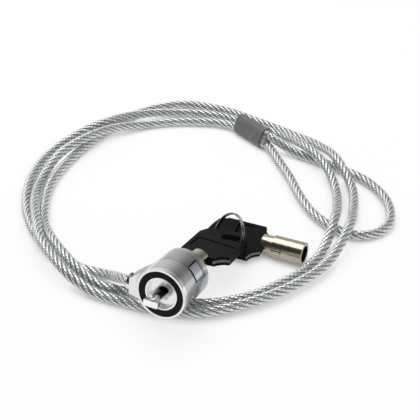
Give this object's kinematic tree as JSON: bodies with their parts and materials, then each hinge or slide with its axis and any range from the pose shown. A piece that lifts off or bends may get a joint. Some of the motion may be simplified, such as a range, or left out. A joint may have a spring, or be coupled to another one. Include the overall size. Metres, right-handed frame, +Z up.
{
  "type": "laptop cable lock",
  "caption": "Round key lock with a T-shaped bar nose on a coiled, coated steel cable that ends in a crimped eye, with two tubular keys on a split ring.",
  "frame": {"origin": "middle of the base of the lock and its keys, on the surface that they lie on; the cable and what is crimped on it are left out", "axes": "+Z up; -Y is the way the nose of the lock points, seen from above; +X is the side that the second key points to"},
  "size_m": [0.1685, 0.1723, 0.0275],
  "materials": {
    "satin_chrome": "satin plated zinc",
    "bright_chrome": "polished plating",
    "face_rubber": "matt black moulded ring",
    "core_nickel": "satin nickel",
    "works_brass": "turned",
    "spring_steel": "plain",
    "anchor_aluminium": "pressed",
    "key_nickel": "nickel plated, slightly warm",
    "grip_plastic": "fine moulded texture",
    "ring_steel": "bright wire",
    "coated_cable": "galvanised strands in a clear coat",
    "ferrule_aluminium": "pressed, matt",
    "sleeve_plastic": "grey shrunk sleeve"
  },
  "bodies": {
    "cable": {"swivel_collar": "satin_chrome", "cable_turn_1": "coated_cable", "cable_turn_2": "coated_cable", "cable_turn_3": "coated_cable", "cable_turn_4": "coated_cable", "cable_eye": "coated_cable", "ferrule": "ferrule_aluminium", "ferrule_sleeve": "sleeve_plastic", "cable_anchor": "anchor_aluminium"},
    "lock_body": {"lock_barrel": "satin_chrome", "face_ring": "face_rubber", "nose_cup": "bright_chrome", "locating_pins": "bright_chrome", "rear_housing": "bright_chrome", "lock_core": "core_nickel", "rear_cap": "satin_chrome", "tumbler_block": "works_brass", "driver_pins": "works_brass", "tumbler_springs": "spring_steel", "stop_pin": "spring_steel"},
    "plug": {"t_bar": "bright_chrome", "spindle_clip": "spring_steel", "turning_plug": "works_brass", "key_pins": "works_brass"},
    "key_1": {"key_1_blade": "key_nickel", "key_1_grip": "grip_plastic"},
    "ring": {"split_ring": "ring_steel"},
    "key_2": {"key_2_blade": "key_nickel", "key_2_grip": "grip_plastic"}
  },
  "joints": [
    {"name": "swivel", "type": "hinge", "parent": "cable", "child": "lock_body", "pos_m": [-0.0086, -0.0314, 0.0172], "axis": [0, -0.9869, 0.1616], "continuous": true},
    {"name": "plug_turn", "type": "hinge", "parent": "lock_body", "child": "plug", "pos_m": [-0.0086, -0.0314, 0.0172], "axis": [0, -0.9869, 0.1616], "range_deg": [0, 90]},
    {"name": "key_1_slide", "type": "slide", "parent": "plug", "child": "key_1", "axis": [0, 0.9869, -0.1616], "range_m": [0, 0.007]},
    {"name": "ring_spin", "type": "hinge", "parent": "key_1", "child": "ring", "pos_m": [-0.0065, 0.023, 0.009], "axis": [0.5285, 0.6937, -0.4894], "continuous": true},
    {"name": "key_2_swing", "type": "hinge", "parent": "key_1", "child": "key_2", "pos_m": [-0.0136, 0.0246, 0.0036], "axis": [-0.0305, 0, 0.9995], "range_deg": [0, 20]}
  ]
}
